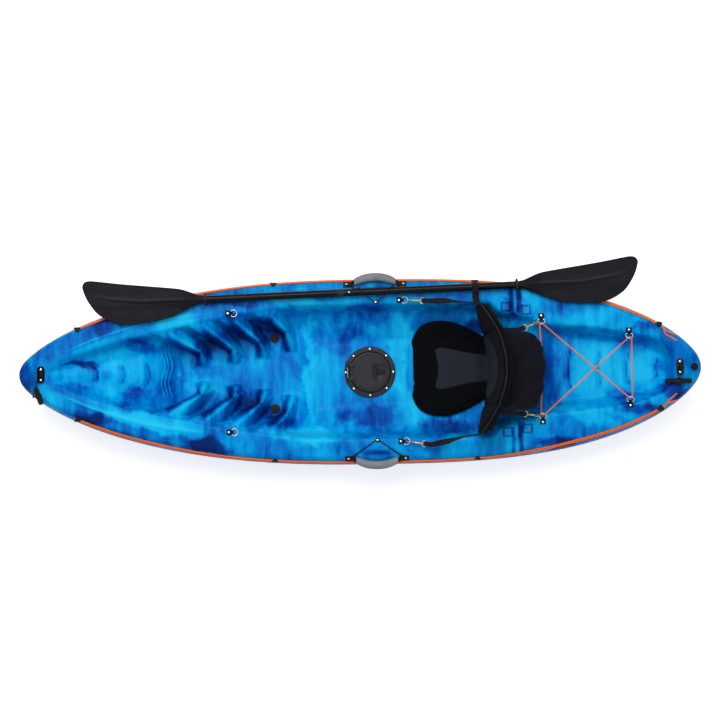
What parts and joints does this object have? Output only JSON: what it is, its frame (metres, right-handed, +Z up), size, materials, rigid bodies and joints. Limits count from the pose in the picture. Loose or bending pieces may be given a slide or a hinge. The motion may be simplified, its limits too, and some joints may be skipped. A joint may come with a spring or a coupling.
{
  "type": "sit-on-top fishing kayak",
  "caption": "Sit-on-top fishing kayak with a hollow moulded hull, strapped seat, hatch, deck cords and a clipped-on double-bladed paddle.",
  "frame": {"origin": "on the flat of the keel at mid length, where the boat stands", "axes": "+X from bow to stern along the keel, +Y to starboard, +Z up"},
  "size_m": [2.657, 0.8026, 0.57],
  "materials": {
    "hull_plastic": "satin, marbled blue",
    "black_plastic": "matte",
    "hatch_plastic": "fine grained",
    "grey_grip": "matte",
    "black_webbing": "woven",
    "seat_fabric": "padded textile",
    "orange_cord": "braided",
    "stainless_steel": "polished",
    "brass": "plated",
    "black_rubber": "matte"
  },
  "bodies": {
    "boat": {"hull": "hull_plastic", "hatch_rim": "hatch_plastic", "hatch_seal": "black_rubber", "hatch_hinge_pin": "stainless_steel", "bow_pad_eye": "black_plastic", "stern_pad_eye": "black_plastic", "seat_cushion": "seat_fabric", "tank_bungee": "orange_cord", "handle_strap_starboard": "black_webbing", "paddle_bungee_starboard": "black_rubber", "perimeter_line_starboard": "orange_cord", "front_ring_tab_starboard": "black_webbing", "side_ring_starboard": "black_webbing", "tank_front_ring_starboard": "black_webbing", "tank_rear_ring_starboard": "black_webbing", "snap_hook_front_starboard": "brass", "snap_hook_rear_starboard": "brass", "seat_strap_front_starboard": "black_webbing", "seat_strap_rear_starboard": "black_webbing", "handle_strap_port": "black_webbing", "paddle_bungee_port": "black_rubber", "perimeter_line_port": "orange_cord", "front_ring_tab_port": "black_webbing", "side_ring_port": "black_webbing", "tank_front_ring_port": "black_webbing", "tank_rear_ring_port": "black_webbing", "snap_hook_front_port": "brass", "snap_hook_rear_port": "brass", "seat_strap_front_port": "black_webbing", "seat_strap_rear_port": "black_webbing", "paddle_strap": "black_webbing"},
    "hatch_lid": {"hatch_lid": "hatch_plastic"},
    "hatch_latch": {"hatch_latch": "black_plastic"},
    "backrest": {"seat_backrest": "seat_fabric", "seat_bag": "seat_fabric"},
    "paddle": {"paddle_shaft_front": "black_plastic", "paddle_shaft_rear": "black_plastic", "paddle_blade_front": "black_plastic", "paddle_blade_rear": "black_plastic"},
    "paddle_snap_button": {"paddle_snap_button": "stainless_steel"},
    "drip_ring_front": {"drip_ring_front": "black_rubber"},
    "drip_ring_rear": {"drip_ring_rear": "black_rubber"},
    "drain_plug_seal": {"drain_plug_seal": "black_rubber"},
    "drain_plug": {"drain_plug": "black_plastic"},
    "bow_toggle": {"bow_toggle": "black_plastic", "bow_toggle_cord": "black_webbing"},
    "stern_toggle": {"stern_toggle": "black_plastic", "stern_toggle_cord": "black_webbing"},
    "scupper_plug_starboard": {"scupper_plug_starboard": "black_rubber"},
    "handle_grip_starboard": {"handle_grip_starboard": "grey_grip"},
    "front_ring_starboard": {"front_ring_starboard": "stainless_steel"},
    "snap_trigger_front_starboard": {"snap_trigger_front_starboard": "brass"},
    "snap_trigger_rear_starboard": {"snap_trigger_rear_starboard": "brass"},
    "scupper_plug_port": {"scupper_plug_port": "black_rubber"},
    "handle_grip_port": {"handle_grip_port": "grey_grip"},
    "front_ring_port": {"front_ring_port": "stainless_steel"},
    "snap_trigger_front_port": {"snap_trigger_front_port": "brass"},
    "snap_trigger_rear_port": {"snap_trigger_rear_port": "brass"}
  },
  "joints": [
    {"name": "hatch_lid_hinge", "type": "hinge", "parent": "boat", "child": "hatch_lid", "pos_m": [-0.0505, 0, 0.1508], "axis": [0, -1, 0], "range_deg": [0, 110]},
    {"name": "hatch_latch_turn", "type": "hinge", "parent": "hatch_lid", "child": "hatch_latch", "pos_m": [0.061, 0, 0.1488], "axis": [0, 0, 1], "range_deg": [0, 90]},
    {"name": "backrest_fold", "type": "hinge", "parent": "boat", "child": "backrest", "pos_m": [0.515, 0, 0.165], "axis": [0, -1, 0], "range_deg": [0, 38], "deforming": ["seat_strap_front_starboard", "seat_strap_front_port", "seat_strap_rear_starboard", "seat_strap_rear_port", "paddle_strap"]},
    {"name": "paddle_slide", "type": "slide", "parent": "boat", "child": "paddle", "axis": [0.9994, 0.0338, -0.0042], "range_m": [-0.03, 0.03]},
    {"name": "paddle_button_press", "type": "slide", "parent": "paddle", "child": "paddle_snap_button", "axis": [-0.0042, -0.0001, -1], "range_m": [0, 0.0035], "stiffness_N_per_m": 400, "springref_m": -0.002},
    {"name": "drip_ring_front_slide", "type": "slide", "parent": "paddle", "child": "drip_ring_front", "axis": [0.9994, 0.0338, -0.0042], "range_m": [0, 0.1]},
    {"name": "drip_ring_rear_slide", "type": "slide", "parent": "paddle", "child": "drip_ring_rear", "axis": [-0.9994, -0.0338, 0.0042], "range_m": [0, 0.1]},
    {"name": "drain_plug_turn", "type": "hinge", "parent": "drain_plug_seal", "child": "drain_plug", "pos_m": [1.27889, 0, 0.31587], "axis": [0.2964, 0, 0.9551], "range_deg": [0, 1260]},
    {"name": "drain_plug_lift", "type": "slide", "parent": "boat", "child": "drain_plug_seal", "axis": [0.2964, 0, 0.9551], "range_m": [0, 0.01401]},
    {"name": "bow_toggle_lift", "type": "hinge", "parent": "boat", "child": "bow_toggle", "pos_m": [-1.22115, 0, 0.33857], "axis": [-0.9959, 0, 0.0907], "range_deg": [0, 120]},
    {"name": "stern_toggle_lift", "type": "hinge", "parent": "boat", "child": "stern_toggle", "pos_m": [1.2239, 0, 0.32661], "axis": [-0.9978, 0, -0.0663], "range_deg": [0, 120]},
    {"name": "scupper_plug_starboard_pull", "type": "slide", "parent": "boat", "child": "scupper_plug_starboard", "axis": [0, 0, 1], "range_m": [0, 0.03]},
    {"name": "handle_starboard_lift", "type": "hinge", "parent": "boat", "child": "handle_grip_starboard", "pos_m": [-0.05, 0.33376, 0.28542], "axis": [1, 0, 0], "range_deg": [0, 24], "deforming": ["handle_strap_starboard"]},
    {"name": "front_ring_starboard_swing", "type": "hinge", "parent": "boat", "child": "front_ring_starboard", "pos_m": [-0.49389, 0.229, 0.29412], "axis": [0, -1, 0], "range_deg": [0, 150]},
    {"name": "snap_trigger_front_starboard_slide", "type": "slide", "parent": "boat", "child": "snap_trigger_front_starboard", "axis": [0.9489, -0.0743, 0.3066], "range_m": [0, 0.006], "stiffness_N_per_m": 300, "springref_m": -0.003},
    {"name": "snap_trigger_rear_starboard_slide", "type": "slide", "parent": "boat", "child": "snap_trigger_rear_starboard", "axis": [-0.9077, -0.3444, 0.2399], "range_m": [0, 0.006], "stiffness_N_per_m": 300, "springref_m": -0.003},
    {"name": "scupper_plug_port_pull", "type": "slide", "parent": "boat", "child": "scupper_plug_port", "axis": [0, 0, 1], "range_m": [0, 0.03]},
    {"name": "handle_port_lift", "type": "hinge", "parent": "boat", "child": "handle_grip_port", "pos_m": [-0.05, -0.33376, 0.28542], "axis": [-1, 0, 0], "range_deg": [0, 55], "deforming": ["handle_strap_port"]},
    {"name": "front_ring_port_swing", "type": "hinge", "parent": "boat", "child": "front_ring_port", "pos_m": [-0.49389, -0.229, 0.29412], "axis": [0, -1, 0], "range_deg": [0, 150]},
    {"name": "snap_trigger_front_port_slide", "type": "slide", "parent": "boat", "child": "snap_trigger_front_port", "axis": [0.9431, -0.1329, 0.3048], "range_m": [0, 0.006], "stiffness_N_per_m": 300, "springref_m": -0.003},
    {"name": "snap_trigger_rear_port_slide", "type": "slide", "parent": "boat", "child": "snap_trigger_rear_port", "axis": [-0.9557, 0.1241, 0.2668], "range_m": [0, 0.006], "stiffness_N_per_m": 300, "springref_m": -0.003}
  ],
  "couplings": [
    {"joint": "drain_plug_lift", "follows": "drain_plug_turn", "m_per_rad": 0.00063662}
  ]
}
